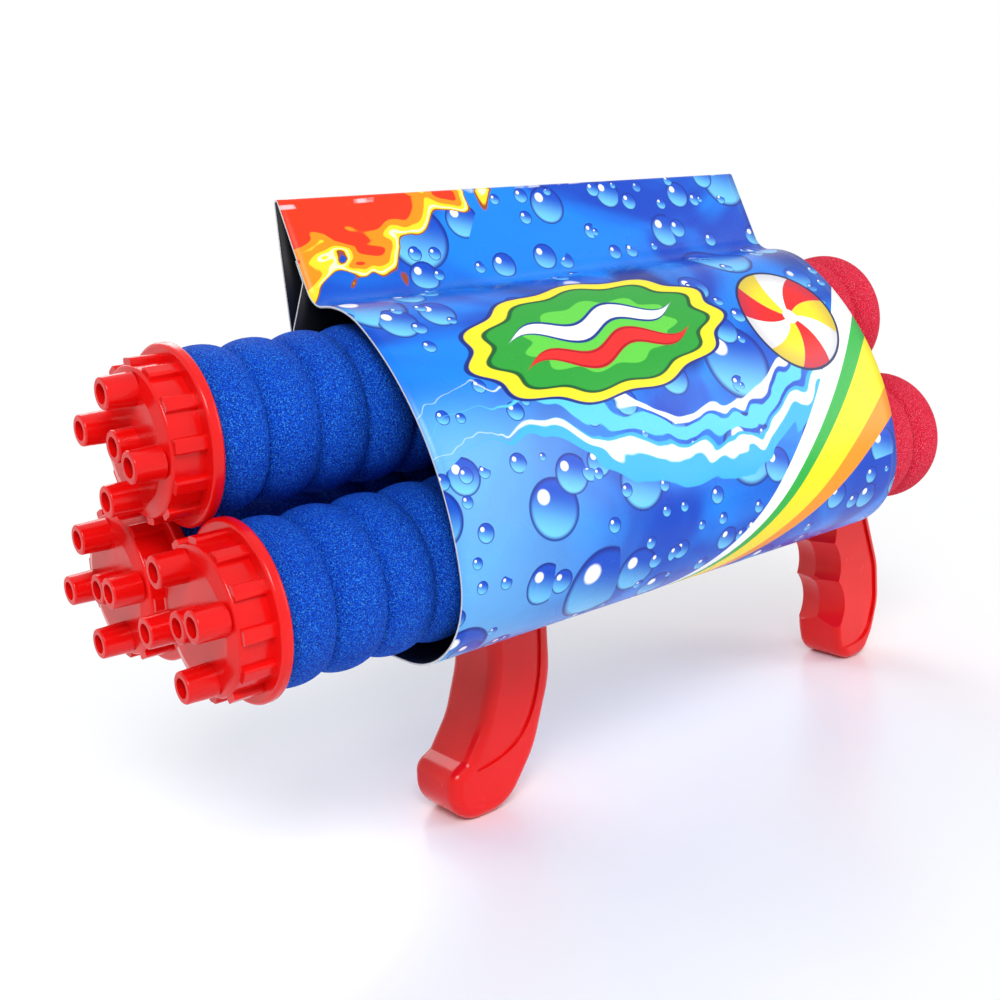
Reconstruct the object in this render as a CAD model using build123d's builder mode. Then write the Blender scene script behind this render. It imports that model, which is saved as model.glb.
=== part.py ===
from build123d import *
import os
from math import acos, atan2, cos, degrees, hypot, radians, sin, sqrt

os.makedirs("parts", exist_ok=True)

# All sizes are millimetres. The nozzles point along -X, the pump handle is drawn out along +X,
# +Z is up, and the origin lies on the floor under the middle of the whole toy.
# Lengths along the toy are counted from the datum, the rear face of the cap flanges.

# Layout of the three barrels
barrel_pitch = 66.6
axis_height = 125.0
glue_gap = 0.1
foam_gap = 0.3
rest_gap = 1.0
pull_stop = 2.0

# Barrel tubes
tube_od = 48.0
tube_wall = 1.6
front_foam_length = 124.0
front_foam_ribs = 6
yoke_length = 24.0
mid_foam_length = 60.0
mid_foam_ribs = 3

# Foam covers
foam_crest_od = 61.0
foam_groove_depth = 4.8
rear_foam_crest_od = 62.6
rear_foam_length = 143.0
rear_foam_ribs = 7

# Screw-on nozzle caps, one moulding used three times
flange_od = 66.0
flange_thickness = 4.6
flange_round = 1.4
skirt_od = 54.0
skirt_length = 12.2
dome_width = 6.0
dome_height = 1.6
rim_round = 1.2
cap_wall = 2.6
rib_count = 12
rib_width = 5.6
rib_height = 2.3
rib_root = 2.0
rib_round = 1.1
rib_length = 11.6
rib_phase = 15.0
nozzle_circle = 39.4
nozzle_length = 10.7
nozzle_set_back = 3.4
nozzle_tip_od = 11.4
nozzle_draft = 2.0
nozzle_bore = 7.2
nozzle_lip = 0.7
nozzle_root = 0.5
orifice = 3.4
nozzle_count = 4
cap_turn_near = -15.5
cap_turn_top = 12.6
cap_turn_far = -9.7

# Cap gaskets, pistons and plunger tubes
gasket_thickness = 1.4
piston_running_gap = 0.1
piston_length = 14.0
piston_front_gap = 1.0
piston_spigot = 14.0
ring_width = 4.0
ring_depth = 2.8
ring_running_gap = 0.03
plunger_od = 32.0
plunger_wall = 2.0
guide_running_gap = 0.2

# Moulded frames that tie the barrels together
frame_corner_od = 74.0
frame_top_od = 64.0
frame_rim = 2.6
frame_web = 4.0
hub_wall = 3.2
end_frame_length = 16.0
end_cup_depth = 8.0
stem_width = 12.0
front_stem_x = 127.0
front_stem_length = 18.0
front_stem_drop = 66.0

# Rear yoke behind the plunger handles
yoke_plate = 6.0
yoke_pad_od = 44.0
yoke_socket_depth = 2.5
yoke_hub_od = 34.0
yoke_arm = 16.0
rear_stem_length = 6.0
rear_stem_drop = 64.0
insert_length = 18.0

# Pistol grips
grip_width = 30.0
grip_wall = 2.4
grip_round = 5.0
panel_depth = 1.2
panel_rim = 6.2
stem_gap = 0.2
boss_od = 8.0
screw_shank = 2.6
screw_head_od = 5.6
screw_head_height = 1.8
screw_gap = 0.2
screw_rest = 1.0
thread_gap = 0.05
front_grip_gap = 0.4
front_grip_x = 92.5
front_grip_depth = 59.3
rear_grip_drop = 27.5
rear_grip_set = 28.0
rear_grip_depth = 46.0
finger_round = 20.0
finger_depth = 1.8
finger_slant = 14.0

# Printed card sleeve
card = 0.8
card_gap = 0.3
sleeve_start = 64.7
sleeve_length = 255.0
near_bulge = 45.0
header_top_y = 27.0
header_top_z = 136.0
header_lean = 25.0
header_flare_y = 5.0
header_flare_z = 4.0
crease_round = 10.0
fold_round = 1.2
back_panel_y = 28.5
back_panel_drop = 26.0
back_panel_end = 84.0
back_panel_round = 20.0
tab_start = 30.0
tab_length = 9.0
glued_gap = 0.1
grip_slot_gap = 2.0
grip_slot_round = 4.0

# Values worked out from the sizes above
barrel_rise = barrel_pitch * sin(radians(60))
near_axis = (-barrel_pitch / 2, 0.0)
far_axis = (barrel_pitch / 2, 0.0)
top_axis = (0.0, barrel_rise)
barrels = {
    "top": (top_axis, cap_turn_top),
    "near": (near_axis, cap_turn_near),
    "far": (far_axis, cap_turn_far),
}

tube_r = tube_od / 2
bore_r = tube_r - tube_wall
rim_front = -flange_thickness - skirt_length
face_front = rim_front - dome_height
face_back = face_front + cap_wall
nozzle_tip = face_front - nozzle_length
tube_front = face_back + gasket_thickness
yoke_start = front_foam_length
yoke_end = yoke_start + yoke_length
mid_foam_end = yoke_end + mid_foam_length
end_frame_start = mid_foam_end
end_frame_end = end_frame_start + end_frame_length
tube_back = end_frame_start + end_cup_depth
rear_foam_start = end_frame_end + rest_gap
rear_foam_end = rear_foam_start + rear_foam_length
yoke_plate_back = rear_foam_end + foam_gap + yoke_plate
piston_front = tube_front + piston_front_gap
piston_back = piston_front + piston_length
plunger_r = plunger_od / 2
plunger_bore_r = plunger_r - plunger_wall
plunger_back = rear_foam_end + yoke_socket_depth
stroke = tube_back - piston_back - pull_stop
head_under = grip_width / 2 - panel_depth - screw_head_height - screw_gap
screw_depth = head_under - screw_rest

# Both grips hang from a named height and always reach the floor. The neck is a share of the depth.
front_neck = 0.4536
front_grip_top = -frame_corner_od / 2 - front_grip_gap
front_grip_length = axis_height + front_grip_top
rear_grip_x = rear_foam_end - rear_grip_set
rear_grip_length = axis_height - rear_grip_drop
total_length = rear_grip_x + rear_grip_depth - nozzle_tip
datum = -total_length / 2 - nozzle_tip
print("overall length", round(total_length, 1), "stroke", round(stroke, 1))


def side_plane(axis):
    """Plane through one barrel's axis: x runs along the toy from the datum, y is up."""
    y, z = axis
    return Plane(origin=(datum, y, axis_height + z), x_dir=(1, 0, 0), z_dir=(0, -1, 0))


def barrel_line(axis):
    y, z = axis
    return Axis((datum, y, axis_height + z), (1, 0, 0))


def cross_plane(station):
    """Plane square to the barrels: x is the toy's Y, y is height over the lower barrels."""
    return Plane(origin=(datum + station, 0, axis_height), x_dir=(0, 1, 0), z_dir=(1, 0, 0))


centre_plane = side_plane((0.0, 0.0))


def scalloped_tube(length, ribs, crest_r, inner_r):
    """Half section of a foam cover: one arc per rib, with a sharp groove between two ribs."""
    pitch = length / ribs
    groove_r = crest_r - foam_groove_depth
    with BuildLine() as outline:
        for k in range(ribs):
            ThreePointArc(
                (k * pitch, groove_r), ((k + 0.5) * pitch, crest_r), ((k + 1) * pitch, groove_r)
            )
        Polyline((length, groove_r), (length, inner_r), (0, inner_r), (0, groove_r))
    return outline.line


def build_foam(axis, start, length, ribs, crest_r, inner_r):
    plane = side_plane(axis).shift_origin(side_plane(axis).origin + Vector(start, 0, 0))
    with BuildPart() as foam:
        with BuildSketch(plane):
            with BuildLine():
                add(scalloped_tube(length, ribs, crest_r, inner_r))
            make_face()
        revolve(axis=barrel_line(axis))
    return foam.part


def build_ring(axis, start, length, outer_r, inner_r):
    """Plain tube or ring round one barrel axis."""
    y, z = axis
    with BuildPart() as ring:
        with BuildSketch(cross_plane(start)):
            with Locations((y, z)):
                Circle(outer_r)
                if inner_r > 0:
                    Circle(inner_r, mode=Mode.SUBTRACT)
        extrude(amount=length)
    return ring.part


def build_nozzle_cap(axis, turn):
    """Cap with a low dome, grip ribs and five tapered jets, each bored down to an orifice."""
    y, z = axis
    skirt_r = skirt_od / 2
    jet_root_r = nozzle_tip_od / 2 + nozzle_length * sin(radians(nozzle_draft))
    middle_tip = nozzle_tip + nozzle_set_back
    with BuildPart() as cap:
        # Flange, skirt and low domed face in one turned section
        with BuildSketch(side_plane(axis)):
            with BuildLine():
                Polyline(
                    (0, tube_r + glue_gap),
                    (0, flange_od / 2),
                    (-flange_thickness, flange_od / 2),
                    (-flange_thickness, skirt_r),
                    (rim_front, skirt_r),
                    (face_front, skirt_r - dome_width),
                    (face_front, 0),
                    (face_back, 0),
                    (face_back, tube_r + glue_gap),
                    (0, tube_r + glue_gap),
                )
            make_face()
        revolve(axis=barrel_line(axis))
        flange_edges = cap.edges().filter_by(
            lambda e: e.geom_type == GeomType.CIRCLE and abs(e.radius - flange_od / 2) < 0.01
        )
        fillet(flange_edges, flange_round)
        rim_edges = cap.edges().filter_by(
            lambda e: e.geom_type == GeomType.CIRCLE
            and abs(e.center().X - datum - rim_front) < 0.01
        )
        fillet(rim_edges, rim_round)
        # Rounded grip ribs round the skirt, standing on the flange
        with BuildSketch(cross_plane(-flange_thickness)):
            with Locations((y, z)):
                with PolarLocations(
                    skirt_r + (rib_height - rib_root) / 2, rib_count, start_angle=turn + rib_phase
                ):
                    RectangleRounded(rib_height + rib_root, rib_width, rib_round)
        extrude(amount=-rib_length)
        # Jets: one in the middle, set back, and a ring of four round it
        with BuildSketch(cross_plane(face_front + nozzle_root)):
            with Locations((y, z)):
                with PolarLocations(nozzle_circle / 2, nozzle_count, start_angle=turn + 90):
                    Circle(jet_root_r)
        extrude(amount=-nozzle_length - nozzle_root, taper=nozzle_draft)
        with BuildSketch(cross_plane(face_front + nozzle_root)):
            with Locations((y, z)):
                Circle(jet_root_r)
        extrude(amount=middle_tip - face_front - nozzle_root, taper=nozzle_draft)
        tip_edges = cap.edges().filter_by(
            lambda e: e.geom_type == GeomType.CIRCLE
            and min(abs(e.center().X - datum - tip) for tip in (nozzle_tip, middle_tip)) < 0.01
        )
        fillet(tip_edges, nozzle_lip)
        # Bores from the tips, then the small orifices through the face into the barrel
        with BuildSketch(cross_plane(nozzle_tip)):
            with Locations((y, z)):
                Circle(nozzle_bore / 2)
                with PolarLocations(nozzle_circle / 2, nozzle_count, start_angle=turn + 90):
                    Circle(nozzle_bore / 2)
        extrude(amount=nozzle_length, mode=Mode.SUBTRACT)
        with BuildSketch(cross_plane(face_front)):
            with Locations((y, z)):
                Circle(orifice / 2)
                with PolarLocations(nozzle_circle / 2, nozzle_count, start_angle=turn + 90):
                    Circle(orifice / 2)
        extrude(amount=cap_wall, mode=Mode.SUBTRACT)
    return cap.part


def build_piston(axis):
    """Piston with a ring groove and a spigot that plugs into the plunger tube."""
    piston_r = bore_r - piston_running_gap
    groove_front = piston_front + (piston_length - ring_width) / 2
    groove_back = groove_front + ring_width
    with BuildPart() as piston:
        with BuildSketch(side_plane(axis)):
            with BuildLine():
                Polyline(
                    (piston_front, 0),
                    (piston_front, piston_r),
                    (groove_front, piston_r),
                    (groove_front, piston_r - ring_depth),
                    (groove_back, piston_r - ring_depth),
                    (groove_back, piston_r),
                    (piston_back, piston_r),
                    (piston_back, plunger_bore_r - glue_gap),
                    (piston_back + piston_spigot, plunger_bore_r - glue_gap),
                    (piston_back + piston_spigot, 0),
                    (piston_front, 0),
                )
            make_face()
        revolve(axis=barrel_line(axis))
    return piston.part


def frame_outline(station, inset):
    """Hull round the three barrels, the same line that the card is wrapped on."""
    with BuildSketch(cross_plane(station)) as outline:
        with Locations(near_axis, far_axis):
            Circle(frame_corner_od / 2 - inset)
        with Locations(top_axis):
            Circle(frame_top_od / 2 - inset)
        make_hull()
    return outline


def frame_pocket(station, inset, hub_r):
    """The hull less its rim and less the hubs: what is cored out of a frame from one side."""
    with BuildSketch(cross_plane(station)) as pocket:
        add(frame_outline(station, inset).sketch_local)
        with Locations(near_axis, far_axis, top_axis):
            Circle(hub_r, mode=Mode.SUBTRACT)
    return pocket.sketch


def save(name, part):
    part.label = name
    export_step(part, f"parts/{name}.step")


# Parts that every barrel has
for place, (axis, turn) in barrels.items():
    save(f"nozzle_cap_{place}", build_nozzle_cap(axis, turn))
    save(
        f"cap_gasket_{place}",
        build_ring(axis, face_back, gasket_thickness, tube_r, bore_r),
    )
    save(
        f"barrel_tube_{place}",
        build_ring(axis, tube_front, tube_back - tube_front, tube_r, bore_r),
    )
    save(
        f"front_foam_{place}",
        build_foam(axis, 0, front_foam_length, front_foam_ribs, foam_crest_od / 2, tube_r + foam_gap),
    )
    save(
        f"mid_foam_{place}",
        build_foam(
            axis, yoke_end, mid_foam_length, mid_foam_ribs, foam_crest_od / 2, tube_r + foam_gap
        ),
    )
    save(f"piston_{place}", build_piston(axis))
    save(
        f"piston_ring_{place}",
        build_ring(
            axis,
            piston_front + (piston_length - ring_width) / 2,
            ring_width,
            bore_r - ring_running_gap,
            bore_r - piston_running_gap - ring_depth,
        ),
    )
    save(
        f"plunger_tube_{place}",
        build_ring(axis, piston_back, plunger_back - piston_back, plunger_r, plunger_bore_r),
    )
    save(
        f"rear_foam_{place}",
        build_foam(
            axis,
            rear_foam_start,
            rear_foam_length,
            rear_foam_ribs,
            rear_foam_crest_od / 2,
            plunger_r + foam_gap,
        ),
    )
    save(
        f"tube_insert_{place}",
        build_ring(
            axis,
            plunger_back - insert_length,
            insert_length,
            plunger_bore_r - glue_gap,
            screw_shank / 2 + thread_gap,
        ),
    )

# Grip screws, on each grip from the top: through the stem, at the middle, at the foot
front_stem_middle = front_stem_x + front_stem_length / 2
rear_stem_x = rear_foam_end + foam_gap
rear_stem_middle = rear_stem_x + rear_stem_length / 2
front_spots = [
    (front_stem_middle, front_grip_top - front_grip_length * 0.16),
    (front_grip_x + front_grip_depth * 0.64, front_grip_top - front_grip_length * 0.5),
    (front_grip_x + front_grip_depth * 0.28, front_grip_top - front_grip_length * 0.84),
]
rear_spots = [
    (rear_stem_middle, -rear_grip_drop - rear_grip_length * 0.24),
    (rear_grip_x + rear_grip_depth * 0.62, -rear_grip_drop - rear_grip_length * 0.56),
    (rear_grip_x + rear_grip_depth * 0.54, -rear_grip_drop - rear_grip_length * 0.84),
]

# Front yoke: clamps the three barrels and carries the front grip on its stem
with BuildPart() as front_yoke:
    extrude(frame_outline(yoke_start, 0).sketch, amount=yoke_length)
    core_depth = (yoke_length - frame_web) / 2
    hub_r = tube_r + hub_wall
    extrude(
        frame_pocket(yoke_start, frame_rim, hub_r), amount=core_depth, mode=Mode.SUBTRACT
    )
    extrude(
        frame_pocket(yoke_end, frame_rim, hub_r), amount=-core_depth, mode=Mode.SUBTRACT
    )
    with BuildSketch(cross_plane(yoke_start)):
        with Locations(near_axis, far_axis, top_axis):
            Circle(tube_r + glue_gap)
    extrude(amount=yoke_length, mode=Mode.SUBTRACT)
    with BuildSketch(centre_plane):
        with Locations((front_stem_x + front_stem_length / 2, -front_stem_drop)):
            Rectangle(front_stem_length, front_stem_drop - tube_r, align=(Align.CENTER, Align.MIN))
    extrude(amount=stem_width / 2, both=True)
    with BuildSketch(centre_plane):
        with Locations(front_spots[0]):
            Circle(screw_shank / 2 + screw_gap)
    extrude(amount=stem_width, both=True, mode=Mode.SUBTRACT)
save("front_yoke", front_yoke.part)

# End frame: closes the three barrels, guides the plungers and backs the card
with BuildPart() as end_frame:
    extrude(frame_outline(end_frame_start, 0).sketch, amount=end_frame_length)
    floor = end_frame_length - end_cup_depth - frame_web
    extrude(
        frame_pocket(end_frame_end, frame_rim, plunger_r + hub_wall),
        amount=-floor,
        mode=Mode.SUBTRACT,
    )
    extrude(
        frame_pocket(end_frame_start, frame_rim, tube_r + hub_wall),
        amount=end_cup_depth,
        mode=Mode.SUBTRACT,
    )
    with BuildSketch(cross_plane(end_frame_start)):
        with Locations(near_axis, far_axis, top_axis):
            Circle(tube_r + glue_gap)
    extrude(amount=end_cup_depth, mode=Mode.SUBTRACT)
    with BuildSketch(cross_plane(end_frame_start)):
        with Locations(near_axis, far_axis, top_axis):
            Circle(plunger_r + guide_running_gap)
    extrude(amount=end_frame_length, mode=Mode.SUBTRACT)
save("end_frame", end_frame.part)

# Rear yoke: joins the three plungers and carries the rear grip on its stem
yoke_centre = (0.0, barrel_rise / 3)
with BuildPart() as rear_yoke:
    with BuildSketch(cross_plane(rear_foam_end + foam_gap)):
        with Locations(near_axis, far_axis, top_axis):
            Circle(yoke_pad_od / 2)
        with Locations(yoke_centre):
            Circle(yoke_hub_od / 2)
        for end in (near_axis, far_axis, top_axis):
            reach = (end[0] - yoke_centre[0], end[1] - yoke_centre[1])
            with Locations(
                Location(
                    ((end[0] + yoke_centre[0]) / 2, (end[1] + yoke_centre[1]) / 2, 0),
                    (0, 0, degrees(atan2(reach[1], reach[0]))),
                )
            ):
                Rectangle(hypot(*reach), yoke_arm)
        Rectangle(barrel_pitch, yoke_arm)
    extrude(amount=yoke_plate)
    with BuildSketch(cross_plane(rear_foam_end)):
        with Locations(near_axis, far_axis, top_axis):
            Circle(plunger_r + glue_gap)
    extrude(amount=yoke_socket_depth, mode=Mode.SUBTRACT)
    with BuildSketch(cross_plane(rear_foam_end)):
        with Locations(near_axis, far_axis, top_axis):
            Circle(screw_shank / 2 + screw_gap)
    extrude(amount=yoke_plate + 1, mode=Mode.SUBTRACT)
    with BuildSketch(centre_plane):
        with Locations((rear_foam_end + foam_gap, -rear_stem_drop)):
            Rectangle(rear_stem_length, rear_stem_drop, align=(Align.MIN, Align.MIN))
    extrude(amount=stem_width / 2, both=True)
    with BuildSketch(centre_plane):
        with Locations(rear_spots[0]):
            Circle(screw_shank / 2 + screw_gap)
    extrude(amount=stem_width, both=True, mode=Mode.SUBTRACT)
save("rear_yoke", rear_yoke.part)


def rounded_outline(corner, depth, length, shares):
    """Closed outline in the grip's middle plane. Every corner is given as shares of the grip's
    depth and length from its front top corner, with a rounding radius as a share of its length."""
    x, top = corner
    reach = min(length, depth * 1.4)
    spots = [(x + depth * u, top - length * v, reach * r) for u, v, r in shares]
    with BuildSketch(centre_plane) as outline:
        with BuildLine():
            Polyline(*[(u, v) for u, v, _ in spots], close=True)
        make_face()
        for u, v, radius in spots:
            if radius > 0:
                fillet(outline.vertices().sort_by_distance((u, v))[0], radius)
    return outline


def side_panel(corner, depth, length, shares):
    """What stands back inside the raised rim: a curve of shares, closed in front of the grip."""
    x, top = corner
    spots = [(x + depth * u, top - length * v) for u, v in shares]
    with BuildSketch(centre_plane) as panel:
        with BuildLine():
            Spline(*spots)
            Polyline(spots[-1], (spots[-1][0], spots[0][1]), spots[0])
        make_face()
    return panel


def screw_line(way, spots, reach, radius, start=0.0):
    """Round bars square to the grip's middle plane, one at each spot."""
    with BuildPart() as bars:
        with BuildSketch(centre_plane.offset(way * start)):
            with Locations(*spots):
                Circle(radius)
        extrude(amount=way * reach)
    return bars.part


def finger_grooves(way, fingers, radius):
    """Bars across the grip where fingers rest, slanted back towards the side."""
    slant = radians(finger_slant)
    with BuildPart() as bars:
        for x, height in fingers:
            across = Plane(
                origin=centre_plane.from_local_coords((x, height, 0)),
                x_dir=(0, 0, 1),
                z_dir=(sin(slant), -way * cos(slant), 0),
            )
            with BuildSketch(across):
                Circle(radius)
            extrude(amount=grip_width)
    return bars.part


def build_grip_half(way, outline, panel, stem, spots, fingers):
    """Half of a hollow pistol grip. The near half has way 1 and takes the screws' threads."""
    half_width = grip_width / 2
    inside = half_width - panel_depth - grip_wall
    with BuildPart() as hollow:
        with BuildSketch(centre_plane):
            add(outline.sketch_local)
            offset(amount=-grip_wall - panel_depth)
        extrude(amount=way * inside)
        if fingers:
            add(finger_grooves(way, fingers, finger_round + grip_wall), mode=Mode.SUBTRACT)
    with BuildPart() as half:
        # Outside: swept outline, rounded side edge, finger grooves that wrap round the corner
        extrude(outline.sketch, amount=way * half_width)
        side_face = half.faces().sort_by(Axis.Y)[0 if way > 0 else -1]
        fillet(side_face.edges().sort_by(Axis.Z)[:-1], grip_round)
        if fingers:
            add(finger_grooves(way, fingers, finger_round), mode=Mode.SUBTRACT)
        # The side stands back inside a raised rim
        with BuildSketch(centre_plane.offset(way * half_width)):
            add(panel.sketch_local)
        extrude(amount=-way * panel_depth, mode=Mode.SUBTRACT)
        # Hollow inside, bosses for the screws, a pocket for the stem
        add(hollow.part, mode=Mode.SUBTRACT)
        add(screw_line(way, spots, inside + grip_wall / 2, boss_od / 2))
        with BuildSketch(centre_plane):
            add(stem.sketch_local)
            offset(amount=stem_gap, kind=Kind.INTERSECTION)
        extrude(amount=way * (stem_width / 2 + stem_gap), mode=Mode.SUBTRACT)
        # Pilot holes in the near half, clearance holes with sunk heads in the far half
        if way > 0:
            add(
                screw_line(way, spots, screw_depth, screw_shank / 2 + thread_gap),
                mode=Mode.SUBTRACT,
            )
        else:
            add(
                screw_line(way, spots, half_width, screw_shank / 2 + screw_gap),
                mode=Mode.SUBTRACT,
            )
            add(
                screw_line(way, spots, half_width, screw_head_od / 2 + screw_gap, head_under),
                mode=Mode.SUBTRACT,
            )
    return half.part


def build_grip_screws(spots):
    """Pan-head screws put in from the far side."""
    with BuildPart() as screws:
        add(screw_line(1, spots, screw_depth - screw_gap, screw_shank / 2))
        add(screw_line(-1, spots, head_under + 0.05, screw_shank / 2))
        add(screw_line(-1, spots, screw_head_height, screw_head_od / 2, head_under + 0.05))
    return screws.part


# Front grip: straight at the top, swept forward into a rounded toe
front_corner = (front_grip_x, front_grip_top)
front_outline = rounded_outline(
    front_corner,
    front_grip_depth,
    front_grip_length,
    [
        (front_neck, 0.0, 0.0),
        (front_neck, 0.281, 0.578),
        (0.320, 0.543, 0.361),
        (0.160, 0.6975, 0.030),
        (0.024, 0.743, 0.084),
        (0.0, 1.0, 0.170),
        (0.514, 1.0, 0.265),
        (0.798, 0.749, 0.600),
        (0.992, 0.395, 0.600),
        (1.0, 0.0, 0.0),
    ],
)
front_panel = side_panel(
    front_corner,
    front_grip_depth,
    front_grip_length,
    [
        (0.895, -0.08),
        (0.892, 0.163),
        (0.821, 0.478),
        (0.649, 0.661),
        (0.361, 0.741),
        (-0.10, 0.720),
    ],
)
with BuildSketch(centre_plane) as front_recess:
    add(front_outline.sketch_local)
    offset(amount=-panel_rim)
    add(front_panel.sketch_local, mode=Mode.INTERSECT)
with BuildSketch(centre_plane) as front_stem:
    with Locations((front_stem_middle, -front_stem_drop)):
        Rectangle(front_stem_length, front_stem_drop - tube_r, align=(Align.CENTER, Align.MIN))
for side, way in (("near", 1), ("far", -1)):
    half = build_grip_half(way, front_outline, front_recess, front_stem, front_spots, [])
    save(f"front_grip_{side}_half", half)
save("front_grip_screws", build_grip_screws(front_spots))

# Rear grip: a curved back, and three finger grooves in front
rear_corner = (rear_grip_x, -rear_grip_drop)
rear_outline = rounded_outline(
    rear_corner,
    rear_grip_depth,
    rear_grip_length,
    [
        (0.0, 0.0, 0.0),
        (0.098, 0.282, 0.93),
        (0.217, 0.6205, 0.93),
        (0.230, 0.846, 0.31),
        (0.283, 1.0, 0.17),
        (0.696, 1.0, 0.17),
        (0.870, 0.887, 0.37),
        (1.0, 0.713, 0.47),
        (0.991, 0.497, 0.53),
        (0.793, 0.190, 0.50),
        (0.793, 0.0, 0.0),
    ],
)
rear_panel = side_panel(
    rear_corner,
    rear_grip_depth,
    rear_grip_length,
    [
        (0.674, -0.08),
        (0.707, 0.231),
        (0.848, 0.415),
        (0.902, 0.59),
        (0.859, 0.774),
        (0.674, 0.892),
        (0.435, 0.918),
        (-0.08, 0.86),
    ],
)
with BuildSketch(centre_plane) as rear_stem:
    with Locations((rear_stem_x, -rear_stem_drop)):
        Rectangle(rear_stem_length, rear_stem_drop, align=(Align.MIN, Align.MIN))
fingers = [
    (
        rear_grip_x + rear_grip_depth * u - finger_round + finger_depth,
        -rear_grip_drop - rear_grip_length * v,
    )
    for u, v in ((0.082, 0.235), (0.155, 0.445), (0.219, 0.665))
]
for side, way in (("near", 1), ("far", -1)):
    half = build_grip_half(way, rear_outline, rear_panel, rear_stem, rear_spots, fingers)
    save(f"rear_grip_{side}_half", half)
save("rear_grip_screws", build_grip_screws(rear_spots))

# Screws that hold the rear yoke to the plunger tubes
with BuildPart() as yoke_screws:
    with BuildSketch(cross_plane(plunger_back - insert_length + screw_gap)):
        with Locations(near_axis, far_axis, top_axis):
            Circle(screw_shank / 2)
    extrude(amount=yoke_plate_back - plunger_back + insert_length - screw_gap)
    with BuildSketch(cross_plane(yoke_plate_back)):
        with Locations(near_axis, far_axis, top_axis):
            Circle(screw_head_od / 2)
    extrude(amount=screw_head_height)
save("yoke_screws", yoke_screws.part)

# Printed card: wrapped once round the frames, its two ends folded up into a flat header on top.
# The header flares a little towards the mouth, so the sheet is drawn between two end views.
card_r = frame_corner_od / 2 + card_gap + card / 2


def card_section(station, flare):
    """End view of the card at one station. The path is the middle of the card's thickness."""
    near = Vector(*near_axis)
    far = Vector(*far_axis)
    top = Vector(*top_axis)
    # The side arc over the near barrels meets both barrel arcs smoothly
    outward = Vector(-sin(radians(60)), cos(radians(60)))
    half_side = barrel_pitch / 2
    bulge_r = (near_bulge**2 + half_side**2 - card_r**2) / (2 * (near_bulge - card_r))
    bulge_centre = (near + top) / 2 - outward * (bulge_r - near_bulge)
    near_meet = near + (near - bulge_centre).normalized() * card_r
    top_meet = top + (top - bulge_centre).normalized() * card_r
    near_crown = (near + top) / 2 + outward * near_bulge
    # Header panel leaning over the top barrel, with a rounded crease at its foot
    header_top = Vector(header_top_y + header_flare_y * flare, header_top_z + header_flare_z * flare)
    down = Vector(-sin(radians(header_lean)), -cos(radians(header_lean)))
    to_near = Vector(down.Y, -down.X)
    beside = header_top + to_near * crease_round - top
    along = beside.dot(down)
    reach = card_r + crease_round
    crease_drop = -along - sqrt(along**2 - beside.dot(beside) + reach**2)
    crease_centre = header_top + to_near * crease_round + down * crease_drop
    crease_start = top + (crease_centre - top).normalized() * card_r
    crease_end = header_top + down * crease_drop
    crease_out = (crease_start + crease_end) / 2 - crease_centre
    # Far wall: from the glue tab straight down to the far barrel
    tab_top = header_top + down * tab_start - to_near * (card + glued_gap)
    tab_foot = tab_top + down * tab_length
    from_far = tab_foot - far
    wall_turn = atan2(from_far.Y, from_far.X) - acos(card_r / from_far.length)
    wall_out = Vector(cos(wall_turn), sin(wall_turn))
    wall_end = far + wall_out * card_r
    wall_run = (wall_end - tab_foot).normalized()
    back_bend = Vector(back_panel_y + header_flare_y * flare / 2, header_top.Y - back_panel_drop)
    back_end = tab_foot + wall_run * ((back_panel_end - tab_foot.Y) / wall_run.Y)
    back_end = back_end + wall_out * (card + glued_gap)
    below = Vector(0, -1)
    with BuildSketch(cross_plane(station)) as section:
        with BuildLine() as path:
            Polyline(tab_top, tab_foot, wall_end)
            far_middle = far + (wall_out + below).normalized() * card_r
            ThreePointArc(wall_end, far_middle, far + below * card_r)
            Line(far + below * card_r, near + below * card_r)
            near_middle = near + (below + (near_meet - near).normalized()).normalized() * card_r
            ThreePointArc(near + below * card_r, near_middle, near_meet)
            ThreePointArc(near_meet, near_crown, top_meet)
            top_middle = top + ((top_meet + crease_start) / 2 - top).normalized() * card_r
            ThreePointArc(top_meet, top_middle, crease_start)
            crease_middle = crease_centre + crease_out.normalized() * crease_round
            ThreePointArc(crease_start, crease_middle, crease_end)
            Polyline(crease_end, header_top, back_bend, back_end)
            fillet(path.vertices().sort_by_distance(header_top)[0], fold_round)
            fillet(path.vertices().sort_by_distance(back_bend)[0], back_panel_round)
        trace(path.line, line_width=card)
    return section.sketch


sleeve_end = sleeve_start + sleeve_length
with BuildPart() as printed_sleeve:
    loft([card_section(sleeve_start, 1.0), card_section(sleeve_end, 0.0)], ruled=True)
    # Slot under the front grip
    slot_front = front_grip_x + front_grip_depth * front_neck - grip_slot_gap
    slot_length = front_grip_x + front_grip_depth + grip_slot_gap - slot_front
    with BuildSketch(Plane.XY.offset(axis_height - card_r)):
        with Locations((datum + slot_front + slot_length / 2, 0)):
            RectangleRounded(slot_length, grip_width + 2 * grip_slot_gap, grip_slot_round)
    extrude(amount=card * 2, both=True, mode=Mode.SUBTRACT)
save("printed_sleeve", printed_sleeve.part)
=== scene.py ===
# %% [markdown]
# # A pump water squirter
# Three foam-covered barrels are held side by side, with a screw-on cap of five jets on each. A printed
# card is wrapped round them and folded into a flat header on top, and two pistol grips hang below.
# The rear grip pushes and draws three plungers at once.
#
# The hard parts already exist as solids. This script loads them as a frame, gives them real finishes,
# and models the soft foam and the thin printed card on top of them.

from functools import partial
from math import acos, atan2, cos, pi, radians, sin, sqrt

import bmesh
import bpy
from mathutils import Matrix, Vector


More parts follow.
